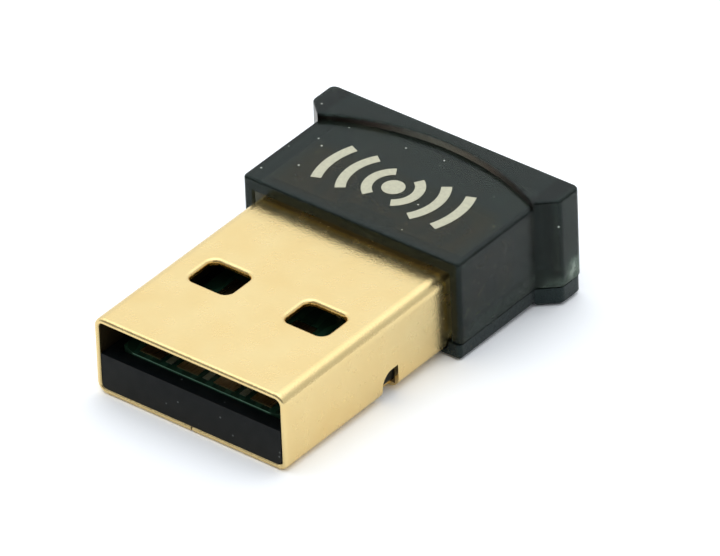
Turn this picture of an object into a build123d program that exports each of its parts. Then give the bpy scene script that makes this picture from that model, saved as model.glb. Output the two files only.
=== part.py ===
import os

from build123d import *

os.makedirs("parts", exist_ok=True)

# Driving sizes in millimetres: X is the width, Y runs from the mouth to the grip, Z is up.
plug_exposed = 12.75
body_depth = 8.55
overall_length = plug_exposed + body_depth
mouth_y = -overall_length / 2
rear_y = overall_length / 2
body_front_y = mouth_y + plug_exposed

# Lower housing: the grip lip is the lowest face, the tray's underside lies a little higher.
lip_drop = 0.15
tray_floor = 0.35
parting_z = 1.08
parting_gap = 0.05
tray_inset = 0.05
tray_lead = 0.05
tongue_rise = 0.72
tongue_top_z = parting_z + tongue_rise
tongue_thick = 0.3
tray_edge = 0.2
shell_fit = 0.06
front_overrun = 1.0

# Plug shell of folded sheet.
shell_base_z = lip_drop + tray_floor
shell_width = 12.0
shell_height = 4.5
tail_setback = 3.7
shell_length = overall_length - tail_setback
sheet = 0.3
fold_radius = 0.6
lip_round = 0.2
lip_chamfer = 0.06
shell_top_z = shell_base_z + shell_height
window_width = 2.6
window_length = 2.1
window_corner = 0.45
window_spacing = 6.05
window_front = 5.2
window_dish = 0.22
notch_front = 7.55
notch_length = 1.25
notch_height = 1.45
notch_inward = 0.7
notch_round = 0.8
seam_width = 0.08
seam_lock_width = 1.6
seam_lock_length = 1.4
seam_lock_setback = 0.7
tail_slot_width = 3.4
tail_slot_length = 1.3
tail_slot_inset = 1.3
tail_slot_y = plug_exposed + tail_slot_inset
tail_cut_width = 5.8
tail_cut_depth = 2.2
side_hole_length = 1.1
side_hole_height = 1.7
side_hole_setback = 1.7
side_hole_y = shell_length - side_hole_setback
side_hole_z = 2.1

# Black carrier and the circuit board lying in it.
carrier_gap = 0.05
carrier_overrun = 0.45
carrier_length = plug_exposed + carrier_overrun
carrier_width = shell_width - 2 * sheet - 2 * carrier_gap
carrier_corner = 0.35
board_side_gap = 0.55
board_width = carrier_width - 2 * board_side_gap
board_front = 0.9
board_setback = 1.1
board_length = overall_length - board_front - board_setback
board_thickness = 0.8
board_top = shell_height * 49 / 90
carrier_step = 0.09
carrier_top = board_top - carrier_step
board_corner_width = 0.8
board_corner_length = 0.3
board_fit = 0.05
board_top_z = shell_base_z + board_top
board_base_z = board_top_z - board_thickness

# Contacts printed on the board.
copper = 0.04
pad_side_gap = 1.62
pad_spacing = (board_width - 2 * pad_side_gap) / 3
data_pad_x = pad_spacing / 2
power_pad_x = data_pad_x + pad_spacing
pad_width = 0.56 * pad_spacing
test_pad_width = 0.16 * pad_spacing
test_pad_length = 2.6
pad_inset = 0.35
pad_front = board_front + pad_inset
pad_setback = 4.0
pad_end = plug_exposed - pad_setback
power_pad_length = pad_end - pad_front
data_pad_setback = 1.0
data_pad_length = power_pad_length - data_pad_setback

# Sizes of the chips and small parts on the board.
radio_width = 4.0
radio_height = 0.8
radio_pad_width = 2.6
terminal_rise = 0.05
terminal_spacing = radio_width / 8
terminal_width = 0.24
terminal_length = 0.5
chip_edge = 0.05
crystal_width = 2.5
crystal_length = 3.2
crystal_base_height = 0.35
crystal_lid_height = 0.35
crystal_rim = 0.15
memory_width = 1.6
memory_length = 2.9
memory_height = 0.95
memory_standoff = 0.1
memory_edge = 0.12
lead_spacing = 0.95
lead_width = 0.4
lead_thick = 0.15
lead_length = 0.6
lead_rise = 0.45
cap_length = 1.0
cap_width = 0.5
cap_height = 0.5
resistor_height = 0.35
end_cap = 0.25
bead_length = 1.6
bead_width = 0.8
joint_length = 1.0
joint_height = 0.8
joint_width = 0.9

# Front row from side to side, evenly spaced: capacitor column, radio chip, crystal.
front_gap = (board_width - cap_width - radio_width - terminal_length - crystal_width) / 4
column_x = front_gap + cap_width / 2 - board_width / 2
radio_x = column_x + cap_width / 2 + front_gap + (terminal_length + radio_width) / 2
crystal_x = board_width / 2 - front_gap - crystal_width / 2
data_row_gap = 0.4
data_row_y = pad_end + data_row_gap + cap_width / 2
data_row_x = (crystal_width - cap_length) / 2
crystal_gap = 0.45
radio_y = data_row_y + cap_width / 2 + crystal_gap + crystal_length / 2
column_spacing = 1.6 * cap_length

# Rear row, evenly spaced: bead beside the solder joint, three capacitors, memory chip.
bead_gap = 0.2
bead_x = bead_gap + joint_width + bead_width / 2 + sheet - shell_width / 2
memory_margin = 0.7
memory_x = board_width / 2 - memory_margin - lead_length - memory_width / 2
memory_gap = 0.35
memory_y = radio_y + (crystal_length + memory_length) / 2 + memory_gap
rear_left_x = bead_x + bead_width / 2
rear_right_x = memory_x - memory_width / 2 - lead_length
rear_gap = (rear_right_x - rear_left_x - 2 * cap_length - cap_width) / 4
left_cap_x = rear_left_x + rear_gap + cap_length / 2
middle_cap_x = left_cap_x + cap_length + rear_gap
right_cap_x = rear_right_x - rear_gap - cap_width / 2
row_gap = 1.0
capacitor_row_y = radio_y + radio_width / 2 + row_gap + cap_width / 2
resistor_row_gap = 0.3
resistor_row_y = capacitor_row_y + cap_width + resistor_row_gap

# Antenna trace at the board's rear edge, solder joints at the shell's tail.
trace_width = 0.35
trace_count = 6
trace_side_gap = 1.175
trace_spacing = (board_width - 2 * trace_side_gap - trace_width) / (trace_count - 1)
trace_depth = 1.7
trace_margin = 0.3
trace_front = board_front + board_length - trace_depth - trace_margin
joint_setback = 1.2
joint_y = shell_length - joint_setback

# Upper housing: walls and roof stand clear of the shell all round.
wall = 0.69
roof = 0.79
rear_wall = 0.9
side_clearance = 0.13
roof_clearance = 0.15
step_rise = 0.38
body_width = shell_width + 2 * (side_clearance + wall)
body_top_z = shell_top_z + roof_clearance + roof
grip_top_z = body_top_z + step_rise
grip_overhang = 1.02
grip_width = body_width + 2 * grip_overhang
grip_side = 1.64
flare_length = 0.9
arc_depth = 1.7
body_corner = 0.25
grip_corner = 0.4
cavity_corner = 0.4
top_edge = 0.15
opening_edge = 0.12
rim_edge = 0.06
peg_fit = 0.15
peg_drop = 0.5
flare_tip_y = rear_y - grip_side
flare_root_y = flare_tip_y - flare_length
cavity_width = body_width - 2 * wall
cavity_rear_y = rear_y - rear_wall
opening_height = body_top_z - roof + opening_edge
upper_rim_z = parting_z + parting_gap
tray_width = shell_width + 2 * shell_fit
tongue_gap = 0.04
tongue_setback = 0.65
tongue_width = tray_width + 2 * tongue_thick
tongue_front_y = body_front_y + tongue_setback
tongue_rear_y = cavity_rear_y + tongue_thick
tray_front_y = body_front_y - tray_lead
tray_corner = fold_radius - shell_fit
rest_side_gap = 2.1
rest_spacing = board_width - 2 * rest_side_gap
rest_width = 1.2
rest_length = 0.8


def finish(piece, name):
    """Names a piece and writes it to its own file."""
    piece.part.label = name
    export_step(piece.part, "parts/" + name + ".step")


def grip_outline(inset):
    """Face of the grip seen from above: arc in front, flares at the sides, square at the rear."""
    half_body = body_width / 2 - inset
    half_grip = grip_width / 2 - inset
    with BuildSketch(mode=Mode.PRIVATE) as outline:
        with BuildLine():
            ThreePointArc(
                (-half_body, flare_root_y),
                (0, flare_root_y + arc_depth),
                (half_body, flare_root_y),
            )
            Polyline(
                (half_body, flare_root_y),
                (half_grip, flare_tip_y + inset / 2),
                (half_grip, rear_y - inset),
                (-half_grip, rear_y - inset),
                (-half_grip, flare_tip_y + inset / 2),
                (-half_body, flare_root_y),
            )
        make_face()
        fillet(outline.vertices().group_by(Axis.Y)[-1], radius=grip_corner)
        fillet(outline.vertices().group_by(Axis.X)[0].sort_by(Axis.Y)[0], radius=grip_corner)
        fillet(outline.vertices().group_by(Axis.X)[-1].sort_by(Axis.Y)[0], radius=grip_corner)
    return outline.sketch


# Plug shell: a folded tube with rolled mouth, windows, notches, seam and an open tail.
with BuildPart() as plug_shell:
    with BuildSketch(Plane.XZ.offset(-mouth_y)):
        with Locations((0, shell_base_z + shell_height / 2)):
            RectangleRounded(shell_width, shell_height, fold_radius)
            RectangleRounded(
                shell_width - 2 * sheet, shell_height - 2 * sheet, fold_radius - sheet, mode=Mode.SUBTRACT
            )
    extrude(amount=-shell_length)
    mouth_face = plug_shell.faces().sort_by(Axis.Y)[0]
    fillet(mouth_face.outer_wire().edges(), radius=lip_round)
    mouth_face = plug_shell.faces().sort_by(Axis.Y)[0]
    chamfer(mouth_face.inner_wires()[0].edges(), length=lip_chamfer)

    # The two windows on top and the two below, with rims dished by the punch.
    window_y = mouth_y + window_front + window_length / 2
    with BuildSketch(Plane.XY.offset(shell_base_z - sheet)):
        with Locations((0, window_y)):
            with GridLocations(window_spacing, 0, 2, 1):
                RectangleRounded(window_width, window_length, window_corner)
    extrude(amount=shell_height + 2 * sheet, mode=Mode.SUBTRACT)
    window_edges = plug_shell.edges().filter_by_position(
        Axis.Y, window_y - window_length / 2 - 0.01, window_y + window_length / 2 + 0.01
    )
    upper_rims = window_edges.filter_by_position(Axis.Z, shell_top_z - 0.001, shell_top_z + 0.001)
    fillet(upper_rims, radius=window_dish)
    window_edges = plug_shell.edges().filter_by_position(
        Axis.Y, window_y - window_length / 2 - 0.01, window_y + window_length / 2 + 0.01
    )
    lower_rims = window_edges.filter_by_position(Axis.Z, shell_base_z - 0.001, shell_base_z + 0.001)
    chamfer(lower_rims, length=window_dish / 2)

    # Notch at the lower edge of each side, behind the windows.
    for side in (-1, 1):
        with BuildSketch(Plane.YZ.offset(side * (shell_width / 2 - notch_inward))) as notch:
            notch_y = mouth_y + notch_front + notch_length / 2
            with Locations((notch_y, shell_base_z + notch_height / 2 - sheet / 2)):
                Rectangle(notch_length, notch_height + sheet)
            fillet(notch.vertices().group_by(Axis.X)[0].sort_by(Axis.Y)[-1], radius=notch_round)
        extrude(amount=side * (notch_inward + sheet), mode=Mode.SUBTRACT)

    # Slot and round cut-out in the top of the tail, an oval hole in each side.
    with BuildSketch(Plane.XY.offset(shell_top_z - sheet - fold_radius / 2)):
        with Locations((0, mouth_y + tail_slot_y)):
            SlotOverall(tail_slot_width, tail_slot_length)
        with Locations((0, mouth_y + shell_length)):
            Ellipse(tail_cut_width / 2, tail_cut_depth)
    extrude(amount=2 * sheet + fold_radius / 2, mode=Mode.SUBTRACT)
    with BuildSketch(Plane.YZ):
        with Locations((mouth_y + side_hole_y, shell_base_z + side_hole_z)):
            SlotOverall(side_hole_height, side_hole_length, rotation=90)
    extrude(amount=shell_width, both=True, mode=Mode.SUBTRACT)

    # Butt seam along the middle of the underside, interlocked by one square key.
    key_y = body_front_y - seam_lock_setback
    key_front = key_y - seam_lock_length / 2
    key_back = key_y + seam_lock_length / 2
    tail_end_y = mouth_y + shell_length
    with BuildSketch(Plane.XY.offset(shell_base_z - sheet)):
        with Locations((0, (mouth_y + key_front) / 2)):
            Rectangle(seam_width, key_front - mouth_y + seam_width)
        with Locations((0, (key_back + tail_end_y) / 2)):
            Rectangle(seam_width, tail_end_y - key_back + seam_width)
        with Locations((seam_lock_width / 2, key_y)):
            Rectangle(seam_lock_width + seam_width, seam_lock_length + seam_width)
            Rectangle(seam_lock_width - seam_width, seam_lock_length - seam_width, mode=Mode.SUBTRACT)
        with Locations((0, key_y)):
            Rectangle(seam_width * 2, seam_lock_length - seam_width, mode=Mode.SUBTRACT)
    extrude(amount=2 * sheet + carrier_gap, mode=Mode.SUBTRACT)
finish(plug_shell, "plug_shell")

# Carrier: black block on the shell's floor with a bed for the board.
carrier_base_z = shell_base_z + sheet
with BuildPart() as plug_carrier:
    with Locations((0, mouth_y + carrier_gap, carrier_base_z)):
        Box(
            carrier_width,
            carrier_length,
            shell_base_z + carrier_top - carrier_base_z,
            align=(Align.CENTER, Align.MIN, Align.MIN),
        )
    fillet(plug_carrier.edges().filter_by(Axis.Y).group_by(Axis.Z)[0], radius=carrier_corner)
    with Locations((0, mouth_y + board_front - board_fit, board_base_z)):
        Box(
            board_width + 2 * board_fit,
            carrier_length,
            board_thickness,
            align=(Align.CENTER, Align.MIN, Align.MIN),
            mode=Mode.SUBTRACT,
        )
finish(plug_carrier, "plug_carrier")

# Circuit board: one plate from the mouth to the grip, its front corners cut off at a shallow slant.
board_front_y = mouth_y + board_front
with BuildPart() as circuit_board:
    with BuildSketch(Plane.XY.offset(board_base_z)):
        with BuildLine():
            Polyline(
                (-board_width / 2, board_front_y + board_length),
                (-board_width / 2, board_front_y + board_corner_length),
                (-board_width / 2 + board_corner_width, board_front_y),
                (board_width / 2 - board_corner_width, board_front_y),
                (board_width / 2, board_front_y + board_corner_length),
                (board_width / 2, board_front_y + board_length),
                close=True,
            )
        make_face()
    extrude(amount=board_thickness)
finish(circuit_board, "circuit_board")

# Four wide contact pads, the outer two longer, and three narrow programming pads between them.
contact_pads = (
    ("power_contact", -power_pad_x, power_pad_length),
    ("data_minus_contact", -data_pad_x, data_pad_length),
    ("data_plus_contact", data_pad_x, data_pad_length),
    ("ground_contact", power_pad_x, power_pad_length),
)
for pad_name, pad_x, pad_length in contact_pads:
    with BuildPart() as contact:
        with Locations((pad_x, mouth_y + pad_front, board_top_z)):
            Box(pad_width, pad_length, copper, align=(Align.CENTER, Align.MIN, Align.MIN))
    finish(contact, pad_name)

with BuildPart() as programming_pads:
    with Locations([(x, mouth_y + pad_front, board_top_z) for x in (-pad_spacing, 0, pad_spacing)]):
        Box(test_pad_width, test_pad_length, copper, align=(Align.CENTER, Align.MIN, Align.MIN))
finish(programming_pads, "programming_pads")

# Radio chip: a flat package on terminals round its edge and a thermal pad.
radio_place = (radio_x, mouth_y + radio_y, board_top_z)
with BuildPart() as radio_chip:
    with Locations((radio_x, mouth_y + radio_y, board_top_z + terminal_rise)):
        Box(radio_width, radio_width, radio_height, align=(Align.CENTER, Align.CENTER, Align.MIN))
    chamfer(radio_chip.edges().group_by(Axis.Z)[-1], length=chip_edge)
finish(radio_chip, "radio_chip")

with BuildPart() as radio_chip_terminals:
    with Locations(radio_place):
        Box(radio_pad_width, radio_pad_width, terminal_rise, align=(Align.CENTER, Align.CENTER, Align.MIN))
        with GridLocations(terminal_spacing, radio_width, 6, 2):
            Box(terminal_width, terminal_length, terminal_rise, align=(Align.CENTER, Align.CENTER, Align.MIN))
        with GridLocations(radio_width, terminal_spacing, 2, 6):
            Box(terminal_length, terminal_width, terminal_rise, align=(Align.CENTER, Align.CENTER, Align.MIN))
finish(radio_chip_terminals, "radio_chip_terminals")

# Crystal: ceramic base soldered flat to the board, metal lid on it.
with BuildPart() as crystal_base:
    with Locations((crystal_x, mouth_y + radio_y, board_top_z)):
        Box(crystal_width, crystal_length, crystal_base_height, align=(Align.CENTER, Align.CENTER, Align.MIN))
finish(crystal_base, "crystal_base")

with BuildPart() as crystal_lid:
    with Locations((crystal_x, mouth_y + radio_y, board_top_z + crystal_base_height)):
        Box(
            crystal_width - 2 * crystal_rim,
            crystal_length - 2 * crystal_rim,
            crystal_lid_height,
            align=(Align.CENTER, Align.CENTER, Align.MIN),
        )
    fillet(crystal_lid.edges().filter_by(Axis.Z), radius=2 * crystal_rim)
    chamfer(crystal_lid.edges().group_by(Axis.Z)[-1], length=crystal_rim / 2)
finish(crystal_lid, "crystal_lid")

# Memory chip: small moulded body standing on three bent leads each side.
memory_base_z = board_top_z + memory_standoff
with BuildPart() as memory_chip:
    with Locations((memory_x, mouth_y + memory_y, memory_base_z)):
        Box(memory_width, memory_length, memory_height, align=(Align.CENTER, Align.CENTER, Align.MIN))
    chamfer(memory_chip.edges().group_by(Axis.Z)[-1], length=memory_edge)
finish(memory_chip, "memory_chip")

lead_foot_z = board_top_z
lead_shoulder_z = board_top_z + lead_rise
with BuildPart() as memory_chip_leads:
    for side in (-1, 1):
        root_x = memory_x + side * memory_width / 2
        for step in (-1, 0, 1):
            lead_y = mouth_y + memory_y + step * lead_spacing
            with BuildSketch(Plane.XZ.offset(-lead_y - lead_width / 2)):
                with BuildLine():
                    Polyline(
                        (root_x, lead_shoulder_z),
                        (root_x + side * lead_length / 3, lead_shoulder_z),
                        (root_x + side * lead_length / 2, lead_foot_z),
                        (root_x + side * lead_length, lead_foot_z),
                        (root_x + side * lead_length, lead_foot_z + lead_thick),
                        (root_x + side * lead_length * 0.7, lead_foot_z + lead_thick),
                        (root_x + side * lead_length * 0.53, lead_shoulder_z + lead_thick),
                        (root_x, lead_shoulder_z + lead_thick),
                        close=True,
                    )
                make_face()
            extrude(amount=-lead_width)
finish(memory_chip_leads, "memory_chip_leads")


def chip_parts(places, length, width, height, body_name, caps_name):
    """Small two-ended parts: places hold x, y from the mouth and the turn of each."""
    with BuildPart() as bodies:
        for x, y, turn in places:
            with Locations(Location((x, mouth_y + y, board_top_z), (0, 0, turn))):
                Box(length - 2 * end_cap, width, height, align=(Align.CENTER, Align.CENTER, Align.MIN))
    finish(bodies, body_name)
    with BuildPart() as caps:
        for x, y, turn in places:
            with Locations(Location((x, mouth_y + y, board_top_z), (0, 0, turn))):
                with GridLocations(length - end_cap, 0, 2, 1):
                    Box(end_cap, width, height, align=(Align.CENTER, Align.CENTER, Align.MIN))
    finish(caps, caps_name)


# Capacitors round the radio chip, resistors at the contacts and behind, bead in the power line.
capacitor_places = (
    (column_x, radio_y - column_spacing, 90),
    (column_x, radio_y, 90),
    (column_x, radio_y + column_spacing, 90),
    (left_cap_x, capacitor_row_y, 0),
    (middle_cap_x, capacitor_row_y, 0),
    (right_cap_x, capacitor_row_y, 90),
)
resistor_places = (
    (crystal_x - data_row_x, data_row_y, 0),
    (crystal_x + data_row_x, data_row_y, 0),
    (left_cap_x, resistor_row_y, 0),
    (middle_cap_x, resistor_row_y, 0),
)
bead_places = ((bead_x, resistor_row_y, 90),)
chip_parts(capacitor_places, cap_length, cap_width, cap_height, "capacitor_bodies", "capacitor_end_caps")
chip_parts(resistor_places, cap_length, cap_width, resistor_height, "resistor_bodies", "resistor_end_caps")
chip_parts(bead_places, bead_length, bead_width, bead_width, "ferrite_bead", "ferrite_bead_end_caps")

# Antenna: copper meander behind the shell's tail, clear of the metal.
meander_width = (trace_count - 1) * trace_spacing
with BuildPart() as antenna_trace:
    with BuildSketch(Plane.XY.offset(board_top_z)):
        for turn in range(trace_count):
            strip_x = turn * trace_spacing - meander_width / 2
            with Locations((strip_x, mouth_y + trace_front + trace_depth / 2)):
                Rectangle(trace_width, trace_depth)
            if turn < trace_count - 1:
                bar_y = trace_front + trace_width / 2
                if turn % 2 == 0:
                    bar_y = trace_front + trace_depth - trace_width / 2
                with Locations((strip_x + trace_spacing / 2, mouth_y + bar_y)):
                    Rectangle(trace_spacing, trace_width)
    extrude(amount=copper)
finish(antenna_trace, "antenna_trace")

# Solder: a fillet from the board's top to the inside of the shell's tail on each side.
with BuildPart() as shell_solder_joints:
    with BuildSketch(Plane.XZ.offset(-mouth_y - joint_y + joint_length / 2)):
        for side in (-1, 1):
            joint_x = side * (shell_width / 2 - sheet)
            with BuildLine():
                Polyline(
                    (joint_x, board_top_z + joint_height),
                    (joint_x, board_top_z),
                    (joint_x - side * joint_width, board_top_z),
                )
                ThreePointArc(
                    (joint_x - side * joint_width, board_top_z),
                    (joint_x - side * joint_width * 0.4, board_top_z + joint_height * 0.3),
                    (joint_x, board_top_z + joint_height),
                )
            make_face()
    extrude(amount=-joint_length)
finish(shell_solder_joints, "shell_solder_joints")

# Upper housing: body and grip as one hollow moulding, open in front round the plug and below.
arc_peak_y = flare_root_y + arc_depth
with BuildPart() as upper_housing:
    with BuildSketch(Plane.XY.offset(upper_rim_z)) as body_shape:
        with Locations((0, (body_front_y + arc_peak_y) / 2)):
            Rectangle(body_width, arc_peak_y - body_front_y)
        fillet(body_shape.vertices().group_by(Axis.Y)[0], radius=body_corner)
    extrude(amount=body_top_z - upper_rim_z)
    top_edges = upper_housing.faces().sort_by(Axis.Z)[-1].edges()
    fillet(top_edges.filter_by_position(Axis.Y, body_front_y - 0.01, arc_peak_y - 0.01), radius=top_edge)
    with BuildSketch(Plane.XY.offset(upper_rim_z)):
        add(grip_outline(0))
    extrude(amount=grip_top_z - upper_rim_z)
    fillet(upper_housing.faces().sort_by(Axis.Z)[-1].edges(), radius=top_edge)
    chamfer(upper_housing.faces().sort_by(Axis.Z)[0].edges(), length=rim_edge)

    with BuildSketch(Plane.XY.offset(upper_rim_z)) as hollow:
        with Locations((0, (body_front_y - front_overrun + cavity_rear_y) / 2)):
            Rectangle(cavity_width, cavity_rear_y - body_front_y + front_overrun)
        fillet(hollow.vertices().group_by(Axis.Y)[-1], radius=cavity_corner)
    extrude(amount=body_top_z - roof - upper_rim_z, mode=Mode.SUBTRACT)
    with BuildSketch(Plane.ZX.offset(body_front_y)):
        with Locations((opening_height / 2, 0)):
            Rectangle(opening_height, cavity_width + 2 * opening_edge)
    extrude(amount=opening_edge, taper=45, mode=Mode.SUBTRACT)

    # Peg in the tail's slot, and the rebate over the lower housing's tongue.
    with BuildSketch(Plane.XY.offset(body_top_z - roof)):
        with Locations((0, mouth_y + tail_slot_y)):
            SlotOverall(tail_slot_width - 2 * peg_fit, tail_slot_length - 2 * peg_fit)
    extrude(amount=-peg_drop)
    with BuildSketch(Plane.XY.offset(upper_rim_z)):
        with Locations((0, (tongue_front_y - tongue_gap + tongue_rear_y + tongue_gap) / 2)):
            Rectangle(tongue_width + 2 * tongue_gap, tongue_rear_y - tongue_front_y + 2 * tongue_gap)
    extrude(amount=tongue_top_z - upper_rim_z, mode=Mode.SUBTRACT)
finish(upper_housing, "upper_housing")

# Lower housing: its grip reaches down to the lip, bevelled all round at the bottom.
with BuildPart() as grip_base:
    with BuildSketch(Plane.XY):
        add(grip_outline(tray_inset))
    extrude(amount=parting_z)
    chamfer(grip_base.faces().sort_by(Axis.Z)[0].edges(), length=tray_edge)

# The rest is a tray with a channel for the shell, a tongue into the upper housing and two board rests.
with BuildPart() as lower_housing:
    with BuildSketch(Plane.XY.offset(lip_drop)) as tray_shape:
        with Locations((0, (tray_front_y + arc_peak_y) / 2)):
            Rectangle(body_width - 2 * tray_inset, arc_peak_y - tray_front_y)
        fillet(tray_shape.vertices().group_by(Axis.Y)[0], radius=body_corner)
    extrude(amount=parting_z - lip_drop)
    tray_edges = lower_housing.faces().sort_by(Axis.Z)[0].edges()
    chamfer(tray_edges.filter_by_position(Axis.Y, tray_front_y - 0.01, arc_peak_y - 0.01), length=tray_edge)
    add(grip_base.part)

    with BuildSketch(Plane.XY.offset(shell_base_z)):
        with Locations((0, (body_front_y - front_overrun + cavity_rear_y) / 2)):
            Rectangle(tray_width, cavity_rear_y - body_front_y + front_overrun)
    extrude(amount=parting_z - shell_base_z, mode=Mode.SUBTRACT)
    channel_edges = lower_housing.edges().filter_by(Axis.Y).filter_by_position(
        Axis.Z, shell_base_z - 0.001, shell_base_z + 0.001
    )
    fillet(channel_edges, radius=tray_corner)
    with BuildSketch(Plane.XY.offset(parting_z)):
        with Locations((0, (tongue_front_y + tongue_rear_y) / 2)):
            Rectangle(tongue_width, tongue_rear_y - tongue_front_y)
        with Locations((0, (body_front_y - front_overrun + cavity_rear_y) / 2)):
            Rectangle(tray_width, cavity_rear_y - body_front_y + front_overrun, mode=Mode.SUBTRACT)
    extrude(amount=tongue_top_z - parting_z)
    with Locations((0, mouth_y + board_front + board_length - rest_length, shell_base_z)):
        with GridLocations(rest_spacing, 0, 2, 1):
            Box(
                rest_width,
                rest_length,
                board_base_z - shell_base_z,
                align=(Align.CENTER, Align.MIN, Align.MIN),
            )
finish(lower_housing, "lower_housing")
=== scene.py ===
import math

import bpy
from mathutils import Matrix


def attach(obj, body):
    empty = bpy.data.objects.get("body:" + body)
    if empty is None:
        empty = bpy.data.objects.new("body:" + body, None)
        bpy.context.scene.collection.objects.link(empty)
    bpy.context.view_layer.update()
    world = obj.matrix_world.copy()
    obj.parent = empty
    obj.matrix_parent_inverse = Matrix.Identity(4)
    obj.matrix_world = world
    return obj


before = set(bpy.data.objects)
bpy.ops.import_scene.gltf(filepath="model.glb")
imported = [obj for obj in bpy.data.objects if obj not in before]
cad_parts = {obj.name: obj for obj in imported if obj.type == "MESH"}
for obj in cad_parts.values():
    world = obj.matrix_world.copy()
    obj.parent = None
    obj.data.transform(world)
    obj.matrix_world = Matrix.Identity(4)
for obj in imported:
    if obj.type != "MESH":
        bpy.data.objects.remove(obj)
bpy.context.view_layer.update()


# Plug shell: one strip of steel sheet, punched, folded round and plated with satin gold. The plating
# follows the sheet's fine orange-peel grain and is hazy in places from handling. Inside the tube it is
# rougher and its colour is painted dark as shade; on the bent rims of the windows it is a painted amber
# glow.
def new_surface(name):
    """A material with its node tree, its shader and the output that gives Object coordinates."""
    material = bpy.data.materials.new(name)
    material.use_nodes = True
    tree = material.node_tree
    shader = tree.nodes["Principled BSDF"]
    place = tree.nodes.new("ShaderNodeTexCoord")
    return material, tree, shader, place.outputs["Object"]


def noise(tree, vector, cells, detail=3.0, stretch=(1, 1, 1)):
    """Noise with the given number of cells in a metre, drawn out along an axis by a small stretch."""
    mapping = tree.nodes.new("ShaderNodeMapping")
    mapping.inputs["Scale"].default_value = [cells * share for share in stretch]
    tree.links.new(vector, mapping.inputs["Vector"])
    field = tree.nodes.new("ShaderNodeTexNoise")
    field.inputs["Scale"].default_value = 1.0
    field.inputs["Detail"].default_value = detail
    tree.links.new(mapping.outputs["Vector"], field.inputs["Vector"])
    return field.outputs["Fac"]


def spread(tree, value, low, high, from_low=0.3, from_high=0.7):
    """Maps one range to another; left alone, the first is the middle of a noise."""
    span = tree.nodes.new("ShaderNodeMapRange")
    span.inputs["From Min"].default_value = from_low
    span.inputs["From Max"].default_value = from_high
    span.inputs["To Min"].default_value = low
    span.inputs["To Max"].default_value = high
    tree.links.new(value, span.inputs["Value"])
    return span.outputs["Result"]


def tone(tree, vector, cells, detail=3.0, stretch=(1, 1, 1)):
    """The same noise, opened up to run from nothing to one."""
    return spread(tree, noise(tree, vector, cells, detail, stretch), 0.0, 1.0)


def rising(tree, value, start, full):
    """Nothing up to the first limit and one beyond the second."""
    return spread(tree, value, 0.0, 1.0, start, full)


def falling(tree, value, full, gone):
    """One up to the first limit and nothing beyond the second."""
    return spread(tree, value, 1.0, 0.0, full, gone)


def combine(tree, operation, first, second):
    """One step of arithmetic between two values, each an output or a number."""
    step = tree.nodes.new("ShaderNodeMath")
    step.operation = operation
    for socket, value in ((step.inputs[0], first), (step.inputs[1], second)):
        if isinstance(value, (int, float)):
            socket.default_value = value
        else:
            tree.links.new(value, socket)
    return step.outputs["Value"]


def overlap(tree, first, *others):
    """One only where all the given masks are one."""
    shared = first
    for mask in others:
        shared = combine(tree, "MULTIPLY", shared, mask)
    return shared


def within(tree, value, low, high, border):
    """One between the two limits and nothing beyond their soft borders."""
    return overlap(tree, rising(tree, value, low - border, low), falling(tree, value, high, high + border))


def split(tree, vector):
    """The three parts of a vector."""
    parts = tree.nodes.new("ShaderNodeSeparateXYZ")
    tree.links.new(vector, parts.inputs["Vector"])
    return parts.outputs["X"], parts.outputs["Y"], parts.outputs["Z"]


def blend(tree, factor, first, second):
    """Colour between two, each a colour or another node's output."""
    mix = tree.nodes.new("ShaderNodeMix")
    mix.data_type = "RGBA"
    for socket, colour in ((mix.inputs[6], first), (mix.inputs[7], second)):
        if isinstance(colour, tuple):
            socket.default_value = (*colour, 1)
        else:
            tree.links.new(colour, socket)
    tree.links.new(factor, mix.inputs[0])
    return mix.outputs[2]


def relief(tree, shader, height, depth):
    """Bump of the given depth in metres."""
    bump = tree.nodes.new("ShaderNodeBump")
    bump.inputs["Distance"].default_value = depth
    tree.links.new(height, bump.inputs["Height"])
    tree.links.new(bump.outputs["Normal"], shader.inputs["Normal"])


def dress(node, material):
    """Gives a CAD node its finish in every slot."""
    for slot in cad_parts[node].material_slots:
        slot.material = material


tube_half_width = 0.00575
tube_floor_z = 0.00075
tube_roof_z = 0.00475
tube_border = 0.00003
mouth_y = -0.01065
shade_start_depth = 0.0002
rims_y = (-0.0059, -0.0029)
rims_half_width = 0.0050
rims_low_z = 0.0044
rims_border = 0.0001
rim_glow_z = 0.00478
rim_glow_fade = 0.00018
pale_gold = (0.97, 0.77, 0.385)
deep_gold = (0.95, 0.725, 0.34)
# Painted glow colour for the window rims, as of light bouncing between the gold walls.
rim_glow_gold = (1.0, 0.62, 0.15)
# Dark gold painted inside the tube as shade.
tube_shade_gold = (0.15, 0.11, 0.055)
tube_roughness = 0.5
hazy_roughness = (0.22, 0.29)
peel_cells = 10500
peel_depth = 0.000009

gold_plate, tree, shader, place = new_surface("gold_plate")
across, along, up = split(tree, place)
gold_colour = blend(tree, tone(tree, place, cells=420, detail=2.0), pale_gold, deep_gold)
window_rims = overlap(
    tree,
    within(tree, along, *rims_y, rims_border),
    rising(tree, up, rims_low_z - rims_border, rims_low_z),
    within(tree, across, -rims_half_width, rims_half_width, rims_border),
)
# Painted shade: the inside of the tube, from just behind the mouth, is coloured dark; the same mask makes
# it rougher.
inside = overlap(
    tree,
    within(tree, across, -tube_half_width, tube_half_width, tube_border),
    within(tree, up, tube_floor_z, tube_roof_z, tube_border),
    rising(tree, along, mouth_y, mouth_y + shade_start_depth),
    combine(tree, "SUBTRACT", 1.0, window_rims),
)
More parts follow.
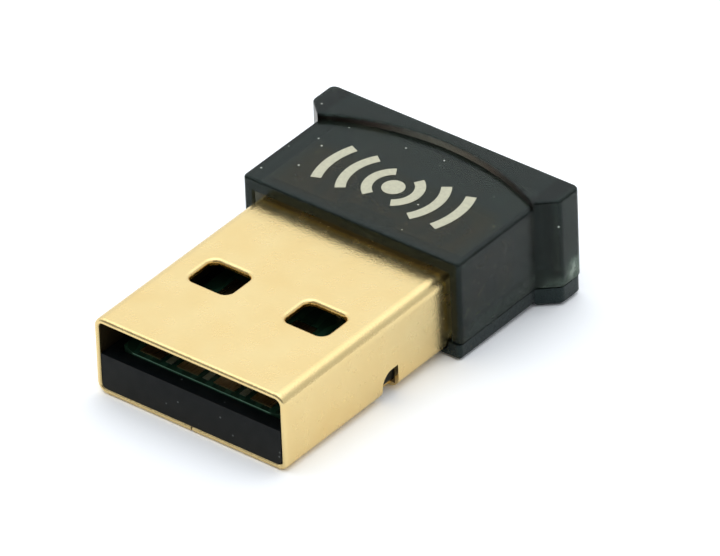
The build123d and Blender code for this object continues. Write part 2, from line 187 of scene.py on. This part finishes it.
# Painted light: an amber glow on the window rims, fading out towards the shell's top.
rim_glow = overlap(tree, window_rims, falling(tree, up, rim_glow_z, rim_glow_z + rim_glow_fade))
gold_colour = blend(tree, rim_glow, gold_colour, rim_glow_gold)
gold_colour = blend(tree, inside, gold_colour, tube_shade_gold)
tree.links.new(gold_colour, shader.inputs["Base Color"])
shader.inputs["Metallic"].default_value = 1.0
haze = spread(tree, noise(tree, place, cells=1500, detail=4.0), *hazy_roughness)
dullness = combine(tree, "MULTIPLY", inside, tube_roughness)
tree.links.new(combine(tree, "MAXIMUM", haze, dullness), shader.inputs["Roughness"])
relief(tree, shader, noise(tree, place, peel_cells, detail=1.0), peel_depth)
dress("plug_shell", gold_plate)

# Carrier: the insulator under the board, moulded in black glass-filled nylon and pushed in from behind.
# Its faces are matt, with a faint flow grain and some dust, and their colour is painted lighter low down
# and darker higher up, as light and shade fall on them.
dust_cells = 1400.0
speck_edge = (0.05, 0.10)
lot_border = 0.01


def dust(tree, place, chosen_from):
    """One at small specks that lie here and there on a surface; a higher limit leaves fewer."""
    cells = tree.nodes.new("ShaderNodeTexVoronoi")
    cells.inputs["Scale"].default_value = dust_cells
    tree.links.new(place, cells.inputs["Vector"])
    speck = falling(tree, cells.outputs["Distance"], *speck_edge)
    lot = split(tree, cells.outputs["Color"])[0]
    return overlap(tree, speck, rising(tree, lot, chosen_from, chosen_from + lot_border))


lit_below_z = 0.0009
shaded_above_z = 0.0026
lit_low_nylon = ((0.009, 0.010, 0.009), (0.013, 0.014, 0.012))
shaded_high_nylon = ((0.001, 0.003, 0.004), (0.004, 0.006, 0.007))
nylon_dust = (0.11, 0.12, 0.12)
nylon_roughness = (0.38, 0.55)

black_nylon, tree, shader, place = new_surface("black_nylon")
nylon_tone = tone(tree, place, cells=3000, detail=4.0)
# Painted light and shade: lighter low down, darker and bluer higher up.
shade_climb = rising(tree, split(tree, place)[2], lit_below_z, shaded_above_z)
nylon_colour = blend(tree, shade_climb, blend(tree, nylon_tone, *lit_low_nylon), blend(tree, nylon_tone, *shaded_high_nylon))
nylon_colour = blend(tree, dust(tree, place, chosen_from=0.55), nylon_colour, nylon_dust)
tree.links.new(nylon_colour, shader.inputs["Base Color"])
shader.inputs["Specular IOR Level"].default_value = 0.17
tree.links.new(spread(tree, noise(tree, place, cells=1500), *nylon_roughness), shader.inputs["Roughness"])
relief(tree, shader, noise(tree, place, cells=14000), depth=0.000004)
dress("plug_carrier", black_nylon)

# Circuit board: glass-epoxy laminate under a green solder mask. Its edges are cut with a saw, so the
# weave shows there, with a painted highlight along the top arris of the cut. Tracks under the mask show as
# lighter lines.
track_wave = {"Scale": 330.0, "Distortion": 3.0, "Detail": 1.0, "Detail Scale": 2.0}
track_edge = (0.62, 0.68)
track_height = 0.000012
green_masks = ((0.012, 0.045, 0.026), (0.016, 0.058, 0.034))
mask_over_track = (0.024, 0.085, 0.05)
laminates = ((0.015, 0.07, 0.035), (0.03, 0.10, 0.055))
cut_edge_tilt = (0.4, 0.6)
edge_highlight_z = (0.00288, 0.00291)
edge_highlight_half_width = 0.0043
edge_highlight_border = 0.0001
edge_highlight_colour = (0.24, 0.48, 0.34)
board_roughness = (0.25, 0.7)

green_mask, tree, shader, place = new_surface("green_mask")
tracks = tree.nodes.new("ShaderNodeTexWave")
tracks.wave_type = "BANDS"
tracks.bands_direction = "X"
for socket, value in track_wave.items():
    tracks.inputs[socket].default_value = value
tree.links.new(place, tracks.inputs["Vector"])
mask_colour = blend(tree, tone(tree, place, cells=900), *green_masks)
track_lines = rising(tree, tracks.outputs["Fac"], *track_edge)
mask_colour = blend(tree, track_lines, mask_colour, mask_over_track)
facing = tree.nodes.new("ShaderNodeTexCoord")
upright = combine(tree, "ABSOLUTE", split(tree, facing.outputs["Normal"])[2], 0.0)
cut_edge = falling(tree, upright, *cut_edge_tilt)
weave = tone(tree, place, cells=5000, detail=2.0, stretch=(0.3, 0.3, 2.0))
# Painted highlight along the top arris of the cut edge.
edge_highlight = overlap(
    tree,
    rising(tree, split(tree, place)[2], *edge_highlight_z),
    within(tree, split(tree, place)[0], -edge_highlight_half_width, edge_highlight_half_width, edge_highlight_border),
)
edge_colour = blend(tree, edge_highlight, blend(tree, weave, *laminates), edge_highlight_colour)
tree.links.new(blend(tree, cut_edge, mask_colour, edge_colour), shader.inputs["Base Color"])
tree.links.new(spread(tree, cut_edge, *board_roughness, 0.0, 1.0), shader.inputs["Roughness"])
relief(tree, shader, tracks.outputs["Fac"], track_height)
dress("circuit_board", green_mask)


# Contacts: four copper pads on the board, flashed with gold and worn in streaks along the plug's travel.
# The three narrow pads between them are plain tinned copper, for programming.
def metal(
    name, colours, roughness, cells, detail=3.0, stretch=(1, 1, 1), metallic=1.0, pits=None, depth=0.000003
):
    """Metal whose colour and gloss follow one grain, as its relief does where it has no pits of its own."""
    finish, tree, shader, place = new_surface(name)
    grain = tone(tree, place, cells, detail, stretch)
    tree.links.new(blend(tree, grain, *colours), shader.inputs["Base Color"])
    shader.inputs["Metallic"].default_value = metallic
    tree.links.new(spread(tree, grain, *roughness, 0.0, 1.0), shader.inputs["Roughness"])
    relief(tree, shader, noise(tree, place, pits) if pits else grain, depth)
    return finish


contact_gold = metal(
    "contact_gold",
    colours=((0.55, 0.42, 0.2), (0.78, 0.62, 0.36)),
    roughness=(0.42, 0.25),
    cells=9000,
    detail=2.0,
    stretch=(1.0, 0.06, 1.0),
    depth=0.000002,
)
for contact in ("power_contact", "data_minus_contact", "data_plus_contact", "ground_contact"):
    dress(contact, contact_gold)

tinned_pad = metal(
    "tinned_pad",
    colours=((0.31, 0.36, 0.25), (0.42, 0.46, 0.34)),
    roughness=(0.4, 0.55),
    cells=5000,
    metallic=0.7,
    pits=8000,
)
dress("programming_pads", tinned_pad)


# Chips: the radio and its memory, moulded in black epoxy round their lead frames. They are matt from the
# spark-finished mould and lie flat on the board.
def matt(name, colours, roughness, cells, detail, pits=None, depth=0.000004):
    """Matt finish whose colour follows one grain, as its relief does where it has no pits of its own."""
    finish, tree, shader, place = new_surface(name)
    grain = tone(tree, place, cells, detail)
    tree.links.new(blend(tree, grain, *colours), shader.inputs["Base Color"])
    shader.inputs["Roughness"].default_value = roughness
    relief(tree, shader, noise(tree, place, pits) if pits else grain, depth)
    return finish


chip_epoxies = ((0.018, 0.018, 0.02), (0.042, 0.042, 0.044))
chip_epoxy = matt("chip_epoxy", chip_epoxies, roughness=0.62, cells=9000, detail=5.0, pits=16000)
dress("radio_chip", chip_epoxy)
dress("memory_chip", chip_epoxy)

# Terminals and end caps: copper or silver under a thin tin plating, reflow-soldered to the board. The
# plating is satin, with a fine uneven grain.
tin_plates = ((0.62, 0.62, 0.6), (0.78, 0.78, 0.76))
tin_plate = metal("tin_plate", tin_plates, roughness=(0.28, 0.42), cells=12000, pits=15000)
for tinned in (
    "radio_chip_terminals",
    "memory_chip_leads",
    "capacitor_end_caps",
    "resistor_end_caps",
    "ferrite_bead_end_caps",
):
    dress(tinned, tin_plate)

# Ceramic parts: the crystal's base, the capacitors, the resistors and the ferrite bead are fired ceramic,
# cut from sheets. Each has a fine speckle and a slightly pitted surface.
ceramics = {
    "crystal_base": ("crystal_ceramic", ((0.06, 0.05, 0.045), (0.1, 0.085, 0.075)), 0.6),
    "capacitor_bodies": ("capacitor_ceramic", ((0.3, 0.2, 0.12), (0.42, 0.3, 0.19)), 0.45),
    "resistor_bodies": ("resistor_ceramic", ((0.015, 0.015, 0.018), (0.04, 0.04, 0.045)), 0.35),
    "ferrite_bead": ("ferrite_ceramic", ((0.05, 0.05, 0.055), (0.09, 0.09, 0.095)), 0.5),
}
for node, (name, colours, roughness) in ceramics.items():
    dress(node, matt(name, colours, roughness, cells=20000, detail=4.0, depth=0.000003))

# Crystal lid: a shallow can of nickel-plated sheet, welded on the ceramic base. Fine lines from rolling
# the sheet run along it.
nickels = ((0.58, 0.56, 0.5), (0.72, 0.7, 0.64))
rolling_stretch = (1.0, 0.05, 1.0)
nickel_lid = metal(
    "nickel_lid",
    nickels,
    roughness=(0.22, 0.36),
    cells=14000,
    detail=2.0,
    stretch=rolling_stretch,
    depth=0.000002,
)
dress("crystal_lid", nickel_lid)

# Antenna: a trace of copper, etched as one piece with the board's tracks and covered by the solder mask,
# which gives it a greenish, half-metallic look.
masked_coppers = ((0.10, 0.17, 0.08), (0.19, 0.25, 0.11))
masked_copper = metal(
    "masked_copper", masked_coppers, roughness=(0.25, 0.4), cells=4000, metallic=0.35, pits=9000
)
dress("antenna_trace", masked_copper)

# Solder joints: two hand-soldered fillets of tin solder, which hold the board to the shell's tail. They
# are bright where they froze smooth and grey elsewhere.
solders = ((0.5, 0.5, 0.49), (0.74, 0.74, 0.73))
solder = metal("solder", solders, roughness=(0.45, 0.2), cells=3500, detail=4.0, pits=5000, depth=0.00001)
dress("shell_solder_joints", solder)

# Housing: two mouldings in smoked translucent plastic, snapped together over a tongue. The upper one lets
# the gold tail show dimly, with a painted warm glow over it, has painted shade on its flanks and round the
# opening for the plug, and a painted olive reflection of the gold on that opening's bevel. Both have caught
# dust, and the grip's lower rear corner is scuffed white.
# Places and tints of painted light on the housing: a warm glow over the tail, shade on the flank, leg and
# lintel, and an olive reflection on the bevel.
tail_x = (-0.0052, 0.0056)
tail_y = (0.0028, 0.0064)
tail_border = 0.0006
tail_roof_z = (0.0050, 0.0055)
tail_glow_tint = (0.60, 0.60, 0.30)
flank_x = (0.0067, 0.0074)
flank_border = 0.0003
flank_z = (0.0018, 0.0035)
flank_y = (0.0026, 0.0032)
flank_shade_tint = (0.20, 0.21, 0.15)
leg_x = (0.0060, 0.0070)
leg_side_border = 0.0002
leg_y = (0.0024, 0.0030)
leg_z = (0.0017, 0.0048)
leg_end_border = 0.0004
leg_shade_tint = (0.12, 0.16, 0.13)
lintel_z = (0.0049, 0.0054)
lintel_edge_border = 0.0002
lintel_y = (0.00223, 0.0033)
lintel_face_border = 0.00002
lintel_x = (-0.0060, -0.0057)
lintel_shade_tint = (0.04, 0.05, 0.03)
bevel_y = (0.00221, 0.00224)
bevel_x = (-0.0059, 0.00624)
bevel_z = (0.0016, 0.00526)
bevel_border = 0.00002
bevel_reflection_tint = (0.36, 0.34, 0.08)
bevel_reflection_clear = 0.84
scuff_centre = (0.0078, 0.0100, 0.00175)
scuff_reach = (0.0001, 0.00085)
rubbed_share = 0.3
rubbed_z = (0.0011, 0.0019)
rubbed_x = (0.0068, 0.0074)
scuff_grain = (0.35, 0.6)
faintest_scuff = 0.35
dust_limit = 0.66
pale_plastic = (0.55, 0.57, 0.52)
gloss_tint = (0.75, 1.0, 1.0)
uneven_gloss = 0.06
smoke_colour = (0.30, 0.16, 0.185)
smoke_density = 2200.0


def scuffs(tree, place, strength):
    """Share of white at the grip's scuffed corner and, fainter, along the rubbed edge beside it."""
    corner = tree.nodes.new("ShaderNodeVectorMath")
    corner.operation = "DISTANCE"
    corner.inputs[1].default_value = scuff_centre
    tree.links.new(place, corner.inputs[0])
    scuff = spread(tree, corner.outputs["Value"], strength, 0.0, *scuff_reach)
    rubbed = overlap(
        tree,
        spread(tree, split(tree, place)[2], rubbed_share * strength, 0.0, *rubbed_z),
        rising(tree, split(tree, place)[0], *rubbed_x),
    )
    grain = spread(tree, noise(tree, place, cells=3000), faintest_scuff, 1.0, *scuff_grain)
    return overlap(tree, combine(tree, "MAXIMUM", scuff, rubbed), grain)


def painted_light_tints(tree, place, tint):
    """The tint with painted light on it: a warm glow over the gold tail, painted shade on the flanks, the
    leg beside the plug and the lintel over the opening, and a painted olive reflection of the gold on the
    opening's bevel, whose mask comes back too.
    """
    across, along, up = split(tree, place)
    tail_glow = overlap(
        tree,
        within(tree, across, *tail_x, tail_border),
        within(tree, along, *tail_y, tail_border),
        rising(tree, up, *tail_roof_z),
    )
    flank_shade = overlap(
        tree,
        within(tree, combine(tree, "ABSOLUTE", across, 0.0), *flank_x, flank_border),
        rising(tree, up, *flank_z),
        rising(tree, along, *flank_y),
    )
    leg_shade = overlap(
        tree,
        within(tree, across, *leg_x, leg_side_border),
        falling(tree, along, *leg_y),
        within(tree, up, *leg_z, leg_end_border),
    )
    lintel_shade = overlap(
        tree,
        within(tree, up, *lintel_z, lintel_edge_border),
        within(tree, along, *lintel_y, lintel_face_border),
        rising(tree, across, *lintel_x),
    )
    bevel_reflection = overlap(
        tree,
        falling(tree, along, *bevel_y),
        within(tree, across, *bevel_x, bevel_border),
        within(tree, up, *bevel_z, bevel_border),
    )
    # Painted light: glow over the tail, shade on flank, leg and lintel, olive reflection on the bevel.
    zones = (
        (tail_glow, tail_glow_tint),
        (flank_shade, flank_shade_tint),
        (leg_shade, leg_shade_tint),
        (lintel_shade, lintel_shade_tint),
        (bevel_reflection, bevel_reflection_tint),
    )
    for zone, zone_tint in zones:
        tint = blend(tree, zone, tint, zone_tint)
    return tint, bevel_reflection


def smoked_plastic(name, tints, clear, roughness, index, scuff_strength):
    """Tinted translucent plastic; clear is the share of light that it lets in where it isn't pale."""
    plastic, tree, shader, place = new_surface(name)
    pale = combine(tree, "MAXIMUM", dust(tree, place, dust_limit), scuffs(tree, place, scuff_strength))
    cloud = tone(tree, place, cells=420, detail=4.0)
    # The base colour carries painted light: a glow over the gold tail, shade on flanks, leg and lintel, and
    # an olive reflection on the bevel, where less light goes through.
    tint, bevel_reflection = painted_light_tints(tree, place, blend(tree, cloud, *tints))
    tree.links.new(blend(tree, pale, tint, pale_plastic), shader.inputs["Base Color"])
    see_through = overlap(
        tree,
        combine(tree, "SUBTRACT", 1.0, pale),
        clear,
        spread(tree, bevel_reflection, 1.0, bevel_reflection_clear, 0.0, 1.0),
    )
    tree.links.new(see_through, shader.inputs["Transmission Weight"])
    shader.inputs["IOR"].default_value = index
    shader.inputs["Specular Tint"].default_value = (*gloss_tint, 1)
    gloss = spread(tree, noise(tree, place, cells=2500, detail=4.0), roughness, roughness + uneven_gloss)
    tree.links.new(gloss, shader.inputs["Roughness"])
    relief(tree, shader, noise(tree, place, cells=1400, detail=2.0), depth=0.000004)
    smoke = tree.nodes.new("ShaderNodeVolumeAbsorption")
    smoke.inputs["Color"].default_value = (*smoke_colour, 1)
    smoke.inputs["Density"].default_value = smoke_density
    tree.links.new(smoke.outputs["Volume"], tree.nodes["Material Output"].inputs["Volume"])
    return plastic


roof_tints = ((0.40, 0.62, 0.50), (0.48, 0.58, 0.42))
clear_smoke = smoked_plastic(
    "smoked_plastic", roof_tints, clear=0.98, roughness=0.19, index=1.34, scuff_strength=0.62
)
dress("upper_housing", clear_smoke)

tray_tints = ((0.010, 0.016, 0.017), (0.014, 0.019, 0.019))
cloudy_smoke = smoked_plastic(
    "tray_plastic", tray_tints, clear=0.12, roughness=0.24, index=1.40, scuff_strength=0.0
)
dress("lower_housing", cloudy_smoke)

# Printed mark: a dot with three waves on each side, pad-printed in pale ink on the roof of the body. The
# ink lies a hair's breadth thick on the plastic.
roof_z = 0.00594
ink_thickness = 0.00002
mark_centre = (0.0, 0.0056)
stroke = 0.00055
dot_radius = stroke * 1.1
dot_sides = 40
wave_radii = (0.00135, 0.00265, 0.0040)
wave_angles = (58, 36, 23)
wave_steps = 18
weld_distance = 0.000001
inks = ((0.55, 0.54, 0.40), (0.66, 0.65, 0.48))


def start_fresh():
    """Leaves nothing selected, because operators act on all that is."""
    if bpy.context.mode != "OBJECT":
        bpy.ops.object.mode_set(mode="OBJECT")
    bpy.ops.object.select_all(action="DESELECT")


def settle(piece):
    """Puts a finished piece's place into its mesh."""
    start_fresh()
    piece.select_set(True)
    bpy.context.view_layer.objects.active = piece
    bpy.ops.object.transform_apply(location=True, rotation=True, scale=True)


start_fresh()
bpy.ops.mesh.primitive_cylinder_add(
    vertices=dot_sides,
    radius=dot_radius,
    depth=ink_thickness,
    location=(*mark_centre, roof_z + ink_thickness / 2),
)
wave_mark = bpy.context.object
wave_mark.name = "printed_wave_mark"
settle(wave_mark)
bpy.ops.object.mode_set(mode="EDIT")
for radius, half_angle in zip(wave_radii, wave_angles):
    for start in (-half_angle, 180 - half_angle):
        turn = math.radians(start)
        wave_end = (
            mark_centre[0] + radius * math.cos(turn),
            mark_centre[1] + radius * math.sin(turn),
            roof_z + ink_thickness / 2,
        )
        bpy.ops.mesh.select_all(action="DESELECT")
        bpy.ops.mesh.primitive_plane_add(
            size=1,
            location=wave_end,
            rotation=(math.radians(90), 0, turn),
            scale=(1, 1, 1),
        )
        bpy.ops.transform.resize(value=(stroke, stroke, ink_thickness), center_override=wave_end)
        bpy.ops.mesh.spin(
            steps=wave_steps,
            angle=-math.radians(2 * half_angle),
            center=(*mark_centre, roof_z),
            axis=(0, 0, 1),
        )
bpy.ops.mesh.select_all(action="SELECT")
bpy.ops.mesh.remove_doubles(threshold=weld_distance)
bpy.ops.mesh.normals_make_consistent(inside=False)
bpy.ops.object.mode_set(mode="OBJECT")
pale_ink = matt("pale_ink", inks, roughness=0.55, cells=6000, detail=4.0, pits=12000)
wave_mark.data.materials.append(pale_ink)
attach(wave_mark, "root")

# Floor: a plain white table top, matt as paper and whiter to the camera than to mirrors. The adapter tips
# forward on it by a degree and a half, from the grip's lip to the plug's lower front edge, so the table
# is drawn at that slope under the part.
table_slope = 0.0263
front_edge_z = 0.0005
table_size = 1.6
table_colour = (0.98, 0.98, 0.97)
table_seen = (1.24, 1.265, 1.30)

start_fresh()
bpy.ops.mesh.primitive_plane_add(
    size=table_size,
    location=(0, 0, front_edge_z + mouth_y * table_slope),
    rotation=(-math.atan(table_slope), 0, 0),
)
table = bpy.context.object
table.name = "table_top"
settle(table)
table_white = bpy.data.materials.new("table_white")
table_white.use_nodes = True
tree = table_white.node_tree
tree.nodes.remove(tree.nodes["Principled BSDF"])
matt_paint = tree.nodes.new("ShaderNodeBsdfDiffuse")
camera_ray = tree.nodes.new("ShaderNodeLightPath").outputs["Is Camera Ray"]
tree.links.new(blend(tree, camera_ray, table_colour, table_seen), matt_paint.inputs["Color"])
tree.links.new(matt_paint.outputs["BSDF"], tree.nodes["Material Output"].inputs["Surface"])
table.data.materials.append(table_white)

# Light: a large soft tent with a bright crown overhead, dimmer towards the horizon, on the right, and
# most of all in front, where the photographer stands. To the camera its walls are plain white.
wall_light = (0.62, 0.98)
wall_heights = (0.1, 0.55)
crown_light = (0.90, 1.70)
crown_heights = (0.6, 0.95)
front_light = 0.27
front_depths = (-0.60, -0.42)
right_light = 0.68
right_sides = (0.25, 0.60)
tent_colour = (0.96, 0.98, 1.0)

world = bpy.data.worlds.new("soft_tent")
bpy.context.scene.world = world
world.use_nodes = True
tent = world.node_tree
background = tent.nodes["Background"]
direction = tent.nodes.new("ShaderNodeTexCoord")
side, depth, height = split(tent, direction.outputs["Generated"])
overhead = combine(
    tent,
    "MAXIMUM",
    spread(tent, height, *wall_light, *wall_heights),
    spread(tent, height, *crown_light, *crown_heights),
)
front_to_back = spread(tent, depth, front_light, 1.0, *front_depths)
left_to_right = spread(tent, side, 1.0, right_light, *right_sides)
tent_light = overlap(tent, overhead, front_to_back, left_to_right)
camera_ray = tent.nodes.new("ShaderNodeLightPath").outputs["Is Camera Ray"]
background.inputs["Color"].default_value = (*tent_colour, 1)
tent.links.new(combine(tent, "MAXIMUM", tent_light, camera_ray), background.inputs["Strength"])

# Camera: a long lens, high at the front right of the plug and slightly rolled, as in the photograph. It
# was fitted to the plug's mouth, windows and outline.
camera_place = (0.292252, -0.348453, 0.320590)
camera_turn = (55.0956, 1.9592, 38.4013)
camera_lens = 561.226
sensor_width = 36

camera_data = bpy.data.cameras.new("camera")
camera_data.lens = camera_lens
camera_data.sensor_width = sensor_width
camera_data.sensor_fit = "HORIZONTAL"
camera = bpy.data.objects.new("camera", camera_data)
camera.location = camera_place
camera.rotation_euler = [math.radians(angle) for angle in camera_turn]
bpy.context.scene.collection.objects.link(camera)
bpy.context.scene.camera = camera
bpy.context.scene.view_settings.view_transform = "Standard"
